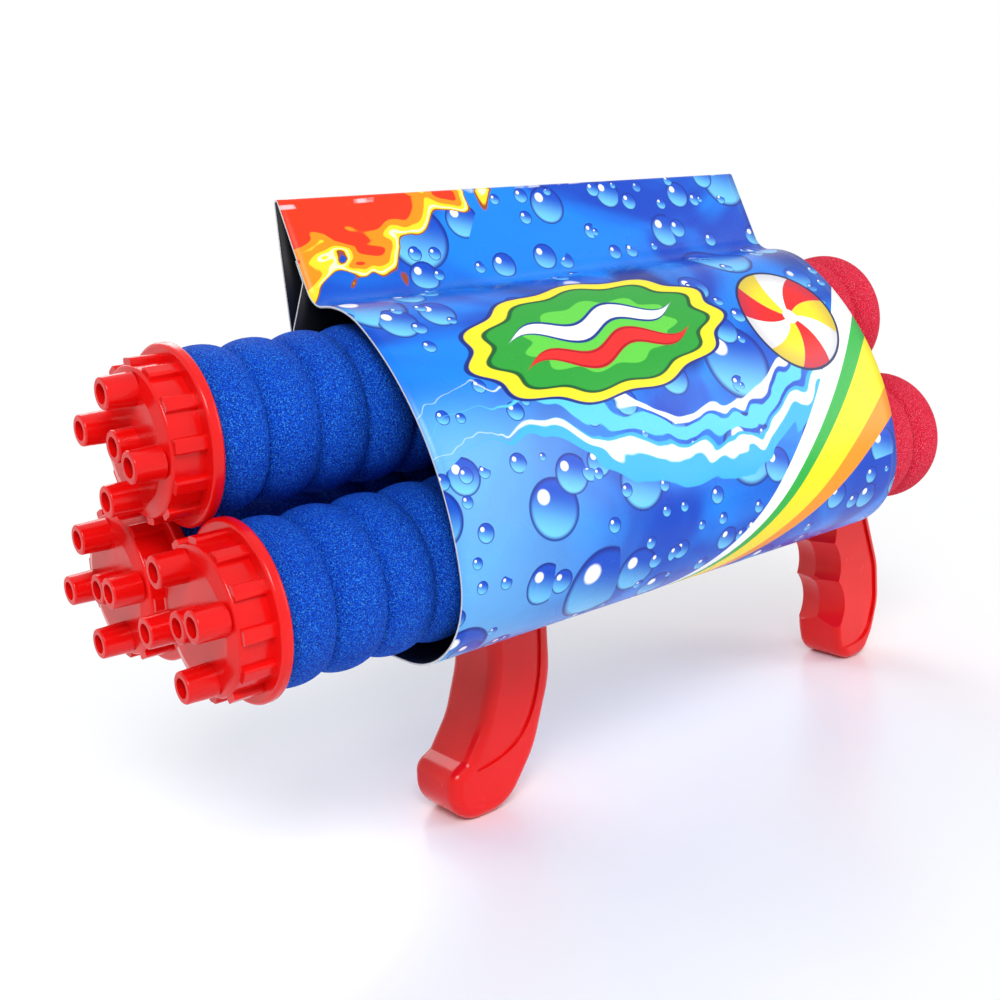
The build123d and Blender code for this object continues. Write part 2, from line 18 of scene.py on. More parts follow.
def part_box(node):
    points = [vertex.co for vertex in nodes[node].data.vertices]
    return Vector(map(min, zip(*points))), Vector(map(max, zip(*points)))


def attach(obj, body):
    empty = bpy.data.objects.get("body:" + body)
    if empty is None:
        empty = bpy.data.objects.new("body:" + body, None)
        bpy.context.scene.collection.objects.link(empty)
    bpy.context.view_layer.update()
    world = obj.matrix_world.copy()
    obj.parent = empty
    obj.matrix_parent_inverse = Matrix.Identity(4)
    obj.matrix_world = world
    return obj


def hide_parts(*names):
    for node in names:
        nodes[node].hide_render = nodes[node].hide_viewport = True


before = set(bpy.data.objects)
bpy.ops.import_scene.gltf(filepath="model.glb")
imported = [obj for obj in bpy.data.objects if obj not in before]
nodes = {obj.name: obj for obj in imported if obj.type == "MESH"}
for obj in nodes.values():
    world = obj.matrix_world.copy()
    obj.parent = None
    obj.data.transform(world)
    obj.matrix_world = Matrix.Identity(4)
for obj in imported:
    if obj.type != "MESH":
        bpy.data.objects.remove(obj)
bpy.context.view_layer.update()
places = ("top", "near", "far")
print("nodes loaded:", len(nodes))

# %% [markdown]
# ## Camera
# A product shot like this one is taken from a little above and well to the front, with a normal lens.
# The camera is aimed by its own three directions instead of by angles, so that the slight tilt of the
# picture is one clear step: the direction to the right is turned about the line of sight.

# %% Camera
eye = Vector((-0.37975, -0.4361, 0.2615))
azimuth = radians(-38.06)
elevation = radians(13.3)
tilt = radians(4.0)
ahead = Vector((-sin(azimuth) * cos(elevation), cos(azimuth) * cos(elevation), -sin(elevation)))
level_right = ahead.cross(Vector((0, 0, 1))).normalized()
level_up = level_right.cross(ahead)
right = level_right * cos(tilt) - level_up * sin(tilt)
up = level_up * cos(tilt) + level_right * sin(tilt)
camera = bpy.data.objects.new("camera", bpy.data.cameras.new("camera"))
camera.matrix_world = Matrix.Translation(eye) @ Matrix((right, up, -ahead)).transposed().to_4x4()
camera.data.lens = 48.3
camera.data.sensor_width = 36.0
camera.data.clip_start = 0.01
bpy.context.scene.collection.objects.link(camera)
bpy.context.scene.camera = camera
print("camera lens", camera.data.lens)

# %% [markdown]
# ## Lamps
# Glossy plastic needs something soft and bright to mirror, so big area lamps stand in for studio soft
# boxes: a strong one in front on the left, a weaker one on the right and one behind, which parts the
# far edges from the background. Small hard lamps would give tiny highlights and black shadows.


# %% Lamps
def soft_box(name, place, aim, size, power):
    lamp = bpy.data.lights.new(name, "AREA")
    lamp.shape = "RECTANGLE"
    lamp.size, lamp.size_y = size
    lamp.energy = power
    box = bpy.data.objects.new(name, lamp)
    box.location = place
    box.rotation_euler = (Vector(aim) - Vector(place)).to_track_quat("-Z", "Y").to_euler()
    bpy.context.scene.collection.objects.link(box)


soft_box("key_light", (-0.75, -0.95, 1.15), (0.0, 0.0, 0.15), (0.7, 0.5), 15.0)
soft_box("fill_light", (0.95, -0.9, 0.55), (0.05, 0.0, 0.12), (0.8, 0.8), 5.5)
soft_box("back_light", (0.2, 1.2, 0.9), (0.0, 0.0, 0.15), (0.9, 0.6), 6.0)
print("lamps:", len(bpy.data.lights))

# %% [markdown]
# ## Short helpers for node trees
# Every finish here is procedural, a tree of small nodes. A few helpers keep the recipes readable: one
# adds a node, one does a sum, one mixes two colours and one makes a soft step. Their first argument is
# the owner of the tree, a material or the world, so the same helpers serve both.


# %% Node helpers
def feed(owner, socket, value):
    if isinstance(value, bpy.types.NodeSocket):
        owner.node_tree.links.new(value, socket)
    else:
        socket.default_value = value


def fill(owner, made, **inputs):
    """Feed a node's inputs by name, with _ for each space in a name."""
    for key, value in inputs.items():
        feed(owner, made.inputs[key.replace("_", " ")], value)


def node(owner, kind, **inputs):
    made = owner.node_tree.nodes.new(kind)
    fill(owner, made, **inputs)
    return made


def calc(owner, operation, *values):
    made = owner.node_tree.nodes.new("ShaderNodeMath")
    made.operation = operation
    for socket, value in zip(made.inputs, values):
        feed(owner, socket, value)
    return made.outputs[0]


def mix(owner, share, first, second):
    made = owner.node_tree.nodes.new("ShaderNodeMix")
    made.data_type = "RGBA"
    # A mix node holds the sockets of every data type, and these are the share and the two colours
    for place, value in ((0, share), (6, first), (7, second)):
        feed(owner, made.inputs[place], value)
    return made.outputs[2]


def step_up(owner, value, low, high):
    """0 at low, 1 at high, and a soft edge between. With low above high it runs the other way."""
    made = node(owner, "ShaderNodeMapRange", Value=value, From_Min=low, From_Max=high)
    made.interpolation_type = "SMOOTHSTEP"
    return made.outputs[0]


def blend_shaders(owner, share, first, second):
    made = owner.node_tree.nodes.new("ShaderNodeMixShader")
    for socket, value in zip(made.inputs, (share, first, second)):
        feed(owner, socket, value)
    return made.outputs[0]


print("node helpers ready")

# %% [markdown]
# ## Background
# The photo has a pure white background. A white world would also light the toy from all sides and wash
# it out. So two backgrounds are blended by the kind of ray: rays that look at things, from the camera
# or by way of a mirror, see white, and all others get a dim, slightly blue room light.


# %% World
def looking_rays(owner):
    """1 for a ray from the camera, and for one that a mirror or glass sends on."""
    rays = node(owner, "ShaderNodeLightPath").outputs
    sent_on = calc(owner, "ADD", rays["Is Glossy Ray"], rays["Is Transmission Ray"])
    return calc(owner, "ADD", rays["Is Camera Ray"], sent_on)


white = (1, 1, 1, 1)
room_colour = (0.93, 0.96, 1.0, 1)
room_strength = 0.55
world = bpy.data.worlds.new("studio")
bpy.context.scene.world = world
world.use_nodes = True
world.node_tree.nodes.clear()
room = node(world, "ShaderNodeBackground", Color=room_colour, Strength=room_strength)
backdrop = node(world, "ShaderNodeBackground", Color=white)
sky = blend_shaders(world, looking_rays(world), room.outputs[0], backdrop.outputs[0])
node(world, "ShaderNodeOutputWorld", Surface=sky)
bpy.context.scene.view_settings.view_transform = "Standard"
print("world nodes:", len(world.node_tree.nodes))

# %% [markdown]
# ## Glossy moulded plastic
# The caps, the grips and the rear yoke are a bright red plastic with a high polish. A mould never gives
# a perfect mirror: there is a faint orange-peel ripple, the polish is uneven, and handling leaves fine
# scuffs. One wide noise varies the colour a little, one the roughness, and a fine one makes the ripple.
# The white tubes and the black frames use the same recipe with a duller polish.


# %% Glossy plastic
def new_finish(name):
    material = bpy.data.materials.new(name)
    material.use_nodes = True
    return material, material.node_tree.nodes["Principled BSDF"]


def object_place(material):
    return node(material, "ShaderNodeTexCoord").outputs["Object"]


def noise(material, spot, scale, detail, **inputs):
    made = node(material, "ShaderNodeTexNoise", Vector=spot, Scale=scale, Detail=detail, **inputs)
    return made.outputs[0]


def moulded_plastic(name, colour, dark, roughness, ripple):
    material, shader = new_finish(name)
    spot = object_place(material)
    broad = noise(material, spot, 22.0, 2.0)
    fine = noise(material, spot, 420.0, 4.0)
    scuff = noise(material, spot, 60.0, 6.0, Roughness=0.7)
    rubbed = step_up(material, scuff, 0.55, 0.75)
    bump = node(material, "ShaderNodeBump", Strength=ripple, Distance=0.0004, Height=fine)
    fill(
        material,
        shader,
        Base_Color=mix(material, step_up(material, broad, 0.35, 0.7), colour, dark),
        Roughness=calc(material, "MULTIPLY_ADD", rubbed, 0.12, roughness),
        Normal=bump.outputs[0],
        Specular_IOR_Level=0.3,
    )
    return material


red_plastic = moulded_plastic(
    "red_plastic", (0.80, 0.005, 0.005, 1), (0.70, 0.003, 0.003, 1), 0.20, 0.10
)
white_plastic = moulded_plastic(
    "white_plastic", (0.78, 0.78, 0.76, 1), (0.72, 0.72, 0.71, 1), 0.38, 0.12
)
frame_plastic = moulded_plastic(
    "frame_plastic", (0.014, 0.014, 0.016, 1), (0.010, 0.010, 0.012, 1), 0.45, 0.25
)
for name, cad_node in nodes.items():
    if name.startswith(("nozzle_cap", "front_grip", "rear_grip", "rear_yoke")):
        finish = red_plastic
    elif name.startswith(("front_yoke", "end_frame")):
        finish = frame_plastic
    else:
        finish = white_plastic
    cad_node.data.materials.clear()
    cad_node.data.materials.append(finish)
print("plastic finishes: 3")

# %% [markdown]
# ## Steel and rubber
# The screw heads are zinc-plated steel, worn by the driver, and the seals are dull black rubber. Both
# are small, so a plain recipe with some grain in its colour is enough. On the steel the same grain also
# varies the roughness, because bare metal shows wear in its mirror more than in its colour.


# %% Steel and rubber
def grained_finish(name, scale, detail, dark, pale, roughness):
    """A plain finish with a grain in its colour. It also gives back its shader and its grain."""
    material, shader = new_finish(name)
    grain = noise(material, object_place(material), scale, detail)
    fill(material, shader, Base_Color=mix(material, grain, dark, pale), Roughness=roughness)
    return material, shader, grain


screw_steel, steel_shader, wear = grained_finish(
    "screw_steel", 1500.0, 3.0, (0.50, 0.50, 0.52, 1), (0.66, 0.66, 0.67, 1), 0.22
)
worn_roughness = calc(screw_steel, "MULTIPLY_ADD", wear, 0.2, 0.22)
fill(screw_steel, steel_shader, Metallic=1.0, Roughness=worn_roughness)
seal_rubber = grained_finish(
    "seal_rubber", 900.0, 3.0, (0.012, 0.012, 0.012, 1), (0.03, 0.03, 0.03, 1), 0.75
)[0]
for name, cad_node in nodes.items():
    if name.endswith("screws"):
        cad_node.data.materials[0] = screw_steel
    if name.startswith(("cap_gasket", "piston_ring")):
        cad_node.data.materials[0] = seal_rubber
print("screws and seals finished")

# %% [markdown]
# ## Open-cell foam
# The covers are soft foam tubes with ribs. Seen close, the surface is a net of tiny torn cells: some
# catch the light, others are dark pits. Real geometry for that would be millions of faces, so a cell
# texture and a grit noise, both finer than a millimetre, give the speckle and the bump together. The
# speckle is painted light: pale specks are painted highlights and dark cell edges are painted shade in
# the pits. A broad noise keeps one rib from looking like the next.


# %% Foam finish
def open_cell_foam(name, pit_shade_and_patch_colour, body, glint):
    material, shader = new_finish(name)
    spot = object_place(material)
    cells = node(material, "ShaderNodeTexVoronoi", Vector=spot, Scale=1300.0).outputs["Distance"]
    grit = noise(material, spot, 2100.0, 2.0)
    broad = noise(material, spot, 30.0, 3.0)
    pit_shade = step_up(material, cells, 0.20, 0.70)
    glint_specks = step_up(material, grit, 0.54, 0.66)
    patchy_tone = step_up(material, broad, 0.3, 0.75)
    tone = body
    # Painted light in the colour: dark cell edges are painted shade in the pits, and pale specks are
    # painted highlights where cell walls catch the light. The broad noise only adds random darker
    # patches.
    for mask, strength, colour in ((pit_shade, 0.75, pit_shade_and_patch_colour), (glint_specks, 0.75, glint), (patchy_tone, 0.2, pit_shade_and_patch_colour)):
        tone = mix(material, calc(material, "MULTIPLY", mask, strength), tone, colour)
    height = calc(material, "SUBTRACT", grit, cells)
    bump = node(material, "ShaderNodeBump", Strength=0.9, Distance=0.0007, Height=height)
    fill(material, shader, Base_Color=tone, Normal=bump.outputs[0])
    fill(material, shader, Roughness=0.8, Specular_IOR_Level=0.15)
    return material


# Each foam gets a dark colour for the painted shade in its pits and for its random patches, a body
# colour, and a pale colour for the painted highlights on its specks.
blue_foam = open_cell_foam(
    "blue_foam", (0.0, 0.018, 0.28, 1), (0.0, 0.095, 0.76, 1), (0.05, 0.36, 1.0, 1)
)
red_foam = open_cell_foam(
    "red_foam", (0.56, 0.004, 0.030, 1), (0.95, 0.024, 0.070, 1), (1.0, 0.20, 0.25, 1)
)
print("foam finishes: 2")

# %% [markdown]
# ## Foam covers
# Each cover is a turned shape: the same rib repeated along a tube. The section is drawn once as a chain
# of edges and spun about the barrel, which is quicker and cleaner than stacking rings. The ribs are
# fuller than a plain arc, with a narrow creased groove, so their height follows a power of the distance
# from the crown. The front face is a little wider than the bottom of a groove.

# %% Foam covers
groove_depth = 0.0053
barrel_bore = 0.0243
plunger_bore = 0.0163
points_per_rib = 14
points_per_turn = 96
front_face_drop = 0.8


def link_piece(name, mesh, finish, body, slot, *replaced):
    piece = bpy.data.objects.new(name, mesh)
    bpy.context.scene.collection.objects.link(piece)
    mesh.materials.append(finish)
    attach(piece, body)
    if replaced:
        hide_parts(*replaced)
    return piece


def smooth_mesh(name, work):
    """Turn the working mesh into a smooth-shaded one and free it."""
    mesh = bpy.data.meshes.new(name)
    work.to_mesh(mesh)
    work.free()
    for face in mesh.polygons:
        face.use_smooth = True
    return mesh


def rib_section(length, ribs, bore, crown):
    """The upper half of a cover's section, from its front at the origin, as a list of points."""
    section = [Vector((0, 0, bore))]
    for k in range(ribs * points_per_rib + 1):
        from_crown = abs(k % points_per_rib / points_per_rib * 2 - 1)
        drop = 1 - (1 - from_crown**2.1) ** 0.52 if k else front_face_drop
        along = length * k / (ribs * points_per_rib)
        section.append(Vector((along, 0, crown - groove_depth * drop)))
    return section + [Vector((length, 0, bore))]


def foam_cover(name, cad_name, ribs, bore, finish, body, slot):
    """Ribbed foam tube in the place of its plain solid."""
    low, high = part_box(cad_name)
    axis_point = (low + high) / 2
    start = Vector((low.x, axis_point.y, axis_point.z))
    work = bmesh.new()
    section = rib_section(high.x - low.x, ribs, bore, (high.z - low.z) / 2)
    chain = [work.verts.new(start + point) for point in section]
    edges = [work.edges.new(pair) for pair in zip(chain, chain[1:] + chain[:1])]
    bmesh.ops.spin(
        work,
        geom=chain + edges,
        cent=axis_point,
        axis=(1, 0, 0),
        angle=2 * pi,
        steps=points_per_turn,
        use_merge=True,
        use_duplicate=False,
    )
    bmesh.ops.remove_doubles(work, verts=work.verts, dist=1e-6)
    bmesh.ops.recalc_face_normals(work, faces=work.faces)
    piece = link_piece(name, smooth_mesh(name, work), finish, body, slot, cad_name)


for place in places:
    for part, ribs, bore, finish, body, slot in (
        ("front_foam", 6, barrel_bore, blue_foam, "barrels", "blue_foam"),
        ("mid_foam", 3, barrel_bore, blue_foam, "barrels", "blue_foam"),
        ("rear_foam", 7, plunger_bore, red_foam, "plunger", "red_foam"),
    ):
        foam_cover(f"{part}_cover_{place}", f"{part}_{place}", ribs, bore, finish, body, slot)
print("foam covers:", 3 * len(places))

# %% [markdown]
# ## The print on flat card
# The card is printed flat, before it is folded. So the whole print is drawn from two numbers, the
# distance along the toy from the mouth of the card and the distance round the card from the middle of
# its underside, both in millimetres and both read from one UV map. Both sides carry the same print:
# the sign of the second number is dropped, and the far side is shifted a little. At the header's top
# fold the distance round turns back, so the back of the header mirrors its front.

# %% Places on the card
far_side_shift = 20.0
top_fold = 271.2
card_print, card_shader = new_finish("printed_card")
reckon = partial(calc, card_print)
ramp = partial(step_up, card_print)
flat_map = node(card_print, "ShaderNodeUVMap")
flat_map.uv_map = "print"
flat_parts = node(card_print, "ShaderNodeSeparateXYZ", Vector=flat_map.outputs[0])
along, signed_round = (reckon("MULTIPLY", part, 1000.0) for part in flat_parts.outputs[:2])
on_far_side = reckon("LESS_THAN", signed_round, 0.0)
unfolded = reckon(
    "MULTIPLY_ADD", on_far_side, far_side_shift, reckon("ABSOLUTE", signed_round)
)
from_fold = reckon("ABSOLUTE", reckon("SUBTRACT", unfolded, top_fold))
around = reckon("SUBTRACT", top_fold, from_fold)
print("print mapped, top fold at", top_fold)

# %% [markdown]
# ## Printing in layers
# The print is built like screen printing: each layer is a mask and a colour laid over all that is there
# already. The helpers make the masks: a soft band between two values, a noise on the flat card, and the
# product of several masks, which is where all of them hold.


# %% Print helpers
def moved_map(shift):
    """The flat place, moved so that two patterns of one kind don't repeat each other."""
    moved = node(card_print, "ShaderNodeVectorMath", Vector=flat_map.outputs[0])
    moved.inputs[1].default_value = (shift, shift, shift)
    return moved.outputs[0]


def flat_noise(scale, detail, distortion=0.0, shift=0.0):
    return noise(card_print, moved_map(shift), scale, detail, Distortion=distortion)


def inside(value, low, high, soft):
    """1 between low and high, with soft edges outside them."""
    rise = ramp(value, reckon("SUBTRACT", low, soft), low)
    fall = ramp(value, high, reckon("ADD", high, soft))
    return reckon("SUBTRACT", rise, fall)


def layer(tone, mask, colour):
    return mix(card_print, mask, tone, colour)


def both(first, second):
    return reckon("MULTIPLY", first, second)


def scaled(value, factor, shift=0.0):
    return reckon("MULTIPLY_ADD", value, factor, shift)


def square_sum(u, v):
    return reckon("ADD", both(u, u), both(v, v))


print("print helpers ready")

# %% [markdown]
# ## Printed water drops
# The drops are flat drawings of round beads: a body that is dark at the top and pale at the bottom, a
# dark rim and one white glint. Placing hundreds by hand would be dull and look regular. A cell texture
# gives a random middle and random numbers for each cell, which choose if it has a drop and how big.


# %% Drops
def drops(tone, scale, share, shift):
    """Round water drops of random sizes, one in a share of the cells of a cell pattern."""
    spot = moved_map(shift)
    cell = node(card_print, "ShaderNodeTexVoronoi", Vector=spot, Scale=scale)
    cell.voronoi_dimensions = "2D"
    chance = node(card_print, "ShaderNodeSeparateXYZ", Vector=cell.outputs["Color"])
    radius = scaled(chance.outputs[0], 0.26 / scale, 0.16 / scale)
    offset = node(card_print, "ShaderNodeVectorMath", Vector=spot)
    offset.operation = "SUBTRACT"
    feed(card_print, offset.inputs[1], cell.outputs["Position"])
    local = node(card_print, "ShaderNodeSeparateXYZ", Vector=offset.outputs[0])
    u, v = (reckon("DIVIDE", part, radius) for part in local.outputs[:2])
    reach = reckon("SQRT", square_sum(u, v))
    shown = ramp(chance.outputs[1], 1.0 - share, 1.02 - share)
    slant = reckon("SUBTRACT", scaled(v, -0.8), scaled(u, 0.3))
    body = mix(card_print, ramp(slant, -0.5, 0.8), (0.001, 0.07, 0.55, 1), (0.16, 0.60, 0.98, 1))
    body = layer(body, ramp(reach, 0.78, 0.96), (0.0, 0.016, 0.26, 1))
    from_glint = square_sum(reckon("ADD", u, 0.32), reckon("SUBTRACT", v, 0.42))
    body = layer(body, ramp(from_glint, 0.075, 0.03), white)
    return layer(tone, both(ramp(reach, 1.0, 0.94), shown), body)


print("drop helper ready")

# %% [markdown]
# ## Water ground and wave bands
# The ground is deep water: a cloudy blue from two soft noises, paler near the mouth and violet under
# the front. Three sizes of drops lie on it. Then come four wave bands, wide blue ones with thin white
# crests, which share one wavy middle line so that they flow together, and grow from nothing.

# %% Water ground and wave bands
cloud = flat_noise(13.0, 2.5, 1.4)
depth = flat_noise(9.0, 2.0, 0.8, 3.7)
tone = mix(card_print, ramp(cloud, 0.36, 0.62), (0.0, 0.055, 0.50, 1), (0.003, 0.22, 0.86, 1))
deep_water = both(ramp(depth, 0.53, 0.66), inside(around, 60.0, 210.0, 30.0))
tone = layer(tone, deep_water, (0.0, 0.012, 0.24, 1))
# Paler towards the mouth, low on both sides of the card.
paler_near_mouth = both(ramp(along, 105.0, 5.0), inside(around, 52.0, 140.0, 30.0))
tone = layer(tone, scaled(paler_near_mouth, 0.6), (0.20, 0.60, 0.97, 1))
violet_edge = both(ramp(around, 62.0, 36.0), ramp(along, 190.0, 60.0))
tone = layer(tone, scaled(violet_edge, 0.9), (0.13, 0.07, 0.55, 1))
for scale, share, shift in ((21.0, 0.45, 0.4), (44.0, 0.50, 1.3), (95.0, 0.25, 2.9)):
    tone = drops(tone, scale, share, shift)
curl = scaled(flat_noise(22.0, 1.5, 1.8, 6.1), 26.0)
swell = scaled(reckon("SINE", scaled(along, 1 / 34, 0.6)), 15.0)
wavy = reckon("ADD", swell, curl)
grown = ramp(along, 22.0, 90.0)
for height, half_width, colour in (
    (113.0, 7.0, (0.03, 0.42, 0.80, 1)),
    (115.5, 2.6, (0.75, 0.94, 1.0, 1)),
    (126.0, 3.6, (0.10, 0.60, 0.93, 1)),
    (133.5, 1.8, (0.85, 0.97, 1.0, 1)),
):
    away = reckon("ABSOLUTE", reckon("SUBTRACT", around, reckon("ADD", wavy, height)))
    past_edge = reckon("SUBTRACT", away, scaled(grown, half_width))
    tone = layer(tone, ramp(past_edge, 0.4, -0.4), colour)
print("water ground, drops and waves")

# %% [markdown]
# ## Striped ribbon
# Four stripes fan out together and climb towards the rear. One curve gives their lower edge, and each
# stripe is a share of the fan's width above it, so they widen together. Next to each other they overlap
# by a little, which hides the seam as an overprint does.

# %% Striped ribbon
ribbon_start = 105.0
past_start = reckon("MAXIMUM", reckon("SUBTRACT", along, ribbon_start), 0.0)
climb = reckon("POWER", scaled(past_start, 0.01), 1.25)
above_ribbon = reckon("SUBTRACT", around, scaled(climb, 46.0, 36.0))
fan = scaled(climb, 0.85, 0.28)
begun = ramp(along, 112.0, 113.0)
for low, high, colour in (
    (0.0, 9.0, (0.95, 0.30, 0.01, 1)),
    (8.0, 24.0, (0.98, 0.78, 0.01, 1)),
    (23.0, 31.0, (0.02, 0.42, 0.05, 1)),
    (30.0, 40.0, (0.95, 0.97, 0.97, 1)),
):
    stripe = inside(above_ribbon, scaled(fan, low), scaled(fan, high), 0.5)
    tone = layer(tone, both(stripe, begun), colour)
print("ribbon stripes: 4")

# %% [markdown]
# ## Flame-coloured splash
# The front corner of the header is red, and its lower hem breaks up in licks of orange and yellow. The
# hem is a sloping line pushed about by a noise and a quick sine. The colours are laid one after another
# from the hem inwards, as an outline, a yellow band, an orange one and the red.

# %% Flame-coloured splash
lick = scaled(flat_noise(24.0, 1.0, 2.2, 9.3), 58.0)
beat = scaled(reckon("SINE", scaled(along, 1 / 8.5)), 5.0)
hem = reckon("ADD", scaled(along, 0.42, 202.0), reckon("ADD", lick, beat))
above_hem = reckon("SUBTRACT", around, hem)
for edge, colour in (
    (-2.2, (0.35, 0.06, 0.0, 1)),
    (-1.0, (1.0, 0.72, 0.02, 1)),
    (6.5, (0.95, 0.28, 0.006, 1)),
    (13.0, (0.80, 0.035, 0.006, 1)),
):
    tone = layer(tone, ramp(above_hem, edge, edge + 0.8), colour)
sheen_line = both(inside(above_hem, 1.2, 2.4, 0.6), ramp(along, 4.0, 8.0))
tone = layer(tone, sheen_line, (1.0, 0.95, 0.55, 1))
print("flame-coloured splash")

# %% [markdown]
# ## Green splash
# A green blot with a scalloped yellow rim sits in the middle of the panel, with a white and a red wave
# on it. Its outline is an ellipse whose distance is nudged by a sine of the angle, and the rings are
# steps of that distance. Each wave is a sine line that tapers to points, drawn wide and dark first and
# then narrower in its colour, which leaves an outline.


# %% Green splash
def turned(middle, angle, half_width, half_height):
    """Place in a turned ellipse: its two shares, and the distance from its middle."""
    du = reckon("SUBTRACT", along, middle[0])
    dv = reckon("SUBTRACT", around, middle[1])
    u_across, u_up = cos(angle) / half_width, sin(angle) / half_width
    v_across, v_up = sin(angle) / half_height, cos(angle) / half_height
    u = reckon("ADD", scaled(du, u_across), scaled(dv, u_up))
    v = reckon("SUBTRACT", scaled(dv, v_up), scaled(du, v_across))
    return u, v, reckon("SQRT", square_sum(u, v))


u, v, plain_reach = turned((104.0, 176.0), radians(4), 66.0, 27.0)
petals = reckon("SINE", scaled(reckon("ARCTAN2", v, u), 11.0, 0.7))
reach = reckon("ADD", plain_reach, scaled(petals, 0.045))
for edge, colour in (
    (1.10, (0.0, 0.02, 0.22, 1)),
    (1.06, (0.98, 0.76, 0.02, 1)),
    (0.93, (0.0, 0.10, 0.02, 1)),
    (0.89, (0.02, 0.34, 0.035, 1)),
    (0.62, (0.12, 0.62, 0.06, 1)),
):
    tone = layer(tone, ramp(reach, edge, edge - 0.015), colour)
ripple = scaled(reckon("SINE", scaled(u, 9.0)), 0.13)
narrowing = ramp(reckon("ABSOLUTE", u), 0.78, 0.30)
on_splash = ramp(reach, 0.86, 0.84)
for height, half_width, colour in (
    (0.22, 0.20, (0.0, 0.03, 0.25, 1)),
    (0.22, 0.15, (0.96, 0.97, 0.98, 1)),
    (-0.28, 0.17, (0.45, 0.0, 0.01, 1)),
    (-0.28, 0.12, (0.92, 0.02, 0.02, 1)),
):
    away = reckon("ABSOLUTE", reckon("SUBTRACT", v, reckon("ADD", ripple, height)))
    past_edge = reckon("SUBTRACT", away, scaled(narrowing, half_width))
    tone = layer(tone, both(ramp(past_edge, 0.0, -0.02), on_splash), colour)
print("green splash")

# %% [markdown]
# ## Printed ball
# The ball has nine slices in white, yellow and red that swirl towards its middle. The angle round the
# middle, with a part of the distance added, bends the slices, and the fraction of that angle in thirds
# of a turn picks the colour. A faint shade to its edge makes it look round.

# %% Printed ball
off_white = (0.96, 0.96, 0.95, 1)
u, v, reach = turned((214.0, 168.0), radians(20), 27.0, 27.0)
swirl = reckon("ADD", reckon("ARCTAN2", v, u), scaled(reach, 0.5, pi))
slice_at = reckon("FRACT", scaled(swirl, 3 / (2 * pi)))
ball = mix(card_print, inside(slice_at, 0.34, 0.66, 0.008), off_white, (0.98, 0.74, 0.02, 1))
ball = layer(ball, ramp(slice_at, 0.66, 0.668), (0.86, 0.012, 0.012, 1))
ball = layer(ball, ramp(reach, 0.16, 0.13), off_white)
ball = layer(ball, scaled(ramp(reach, 0.55, 1.0), 0.35), (0.05, 0.02, 0.10, 1))
tone = layer(tone, ramp(reach, 1.05, 1.03), (0.0, 0.01, 0.09, 1))
tone = layer(tone, ramp(reach, 1.0, 0.98), ball)
print("printed ball")

# %% [markdown]
# ## Card finish
# The outside is coated card: glossy, never quite flat, with smears from handling, and worn pale in
# spots along the top fold, where the coating cracks. The cut edge is bare white board. The inside is
# dark and duller. The two plain sides reuse the grained recipe.

# %% Card finish
at_fold = inside(around, top_fold - 0.6, top_fold + 0.4, 0.6)
fold_wear = both(at_fold, ramp(flat_noise(90.0, 3.0), 0.50, 0.62))
tone = layer(tone, scaled(fold_wear, 0.6), (0.80, 0.84, 0.88, 1))
smear = ramp(flat_noise(30.0, 5.0, 0.0, 4.4), 0.4, 0.7)
waves = scaled(flat_noise(11.0, 1.0, 0.0, 7.7), 3.0)
fibres = scaled(flat_noise(900.0, 2.0, 0.0, 5.5), 0.02)
card_height = reckon("ADD", waves, fibres)
bump = node(card_print, "ShaderNodeBump", Strength=0.5, Distance=0.001, Height=card_height)
fill(
    card_print,
    card_shader,
    Base_Color=tone,
    Roughness=scaled(smear, 0.10, 0.24),
    Normal=bump.outputs[0],
    Specular_IOR_Level=0.25,
)
card_edge = grained_finish(
    "card_edge", 1200.0, 2.0, (0.62, 0.62, 0.60, 1), (0.85, 0.85, 0.83, 1), 0.8
)[0]
card_inside = grained_finish(
    "card_inside", 500.0, 4.0, (0.004, 0.004, 0.005, 1), (0.010, 0.010, 0.012, 1), 0.5
)[0]
print("card finishes: 3")

# %% [markdown]
# ## The printed card, as two end views
# The card is one long sheet, so its end view is a single line that can be walked with a pencil: down
# from the glue tab, round the barrels, up the header and back down behind it. Extruding a vertex draws
# the straight runs and spinning it draws the bends. That gives exact arcs without listing any points.
# The header flares a little towards the mouth, so the line is walked twice, once for each end.


# %% Card helpers
def run_to(work, tip, target):
    step = bmesh.ops.extrude_vert_indiv(work, verts=[tip])["verts"][0]
    step.co = target
    return step


def bend(work, tip, centre, angle, steps):
    """Carry the tip round a centre. A positive angle goes anticlockwise seen from the rear."""
    spun = bmesh.ops.spin(
        work,
        geom=[tip],
        cent=centre,
        axis=(1, 0, 0),
        angle=angle,
        steps=steps,
        use_merge=False,
        use_duplicate=False,
    )
    return [v for v in spun["geom_last"] if isinstance(v, bmesh.types.BMVert)][0]


def swing(point, centre):
    return atan2(point.z - centre.z, point.y - centre.y)


def corner(work, tip, corner_at, onward, radius, steps):
    """Go to a corner, round it, and point onward."""
    before = (corner_at - tip.co).normalized()
    after = (onward - corner_at).normalized()
    turn = before.angle(after)
    if before.cross(after).x < 0:
        turn = -turn
    start = corner_at - before * radius * abs(sin(turn / 2) / cos(turn / 2))
    tip = run_to(work, tip, start)
    side = Vector((1, 0, 0)).cross(before) * (radius if turn > 0 else -radius)
    return bend(work, tip, start + side, turn, steps)


print("card helpers ready")

# %% [markdown]
# ## Walking one end view
# The header panel leans over the top barrel. Its foot blends into the round of the card through a small
# hollow bend, and that bend's centre lies one card radius plus one bend radius from the barrel's axis.
# The side towards the camera bulges out, so it is one wide arc that meets both barrel arcs smoothly.
# The far side is flat: it comes down from a glue tab that is hidden between the header's two panels.

# %% Walk the card's end view
card_low, card_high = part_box("printed_sleeve")
card_r = 0.0377
card_thickness = 0.0008
glued_gap = 0.0001
bulge = 0.045
crease_r = 0.010
fold_r = 0.0012
back_r = 0.020
header_lean = radians(25)
header_top_y, header_top_z = 0.027, 0.136
header_flare_y, header_flare_z = 0.005, 0.004
back_bend_y, back_bend_drop = 0.0285, 0.026
back_end_z = 0.084
tab_start, tab_length = 0.030, 0.009


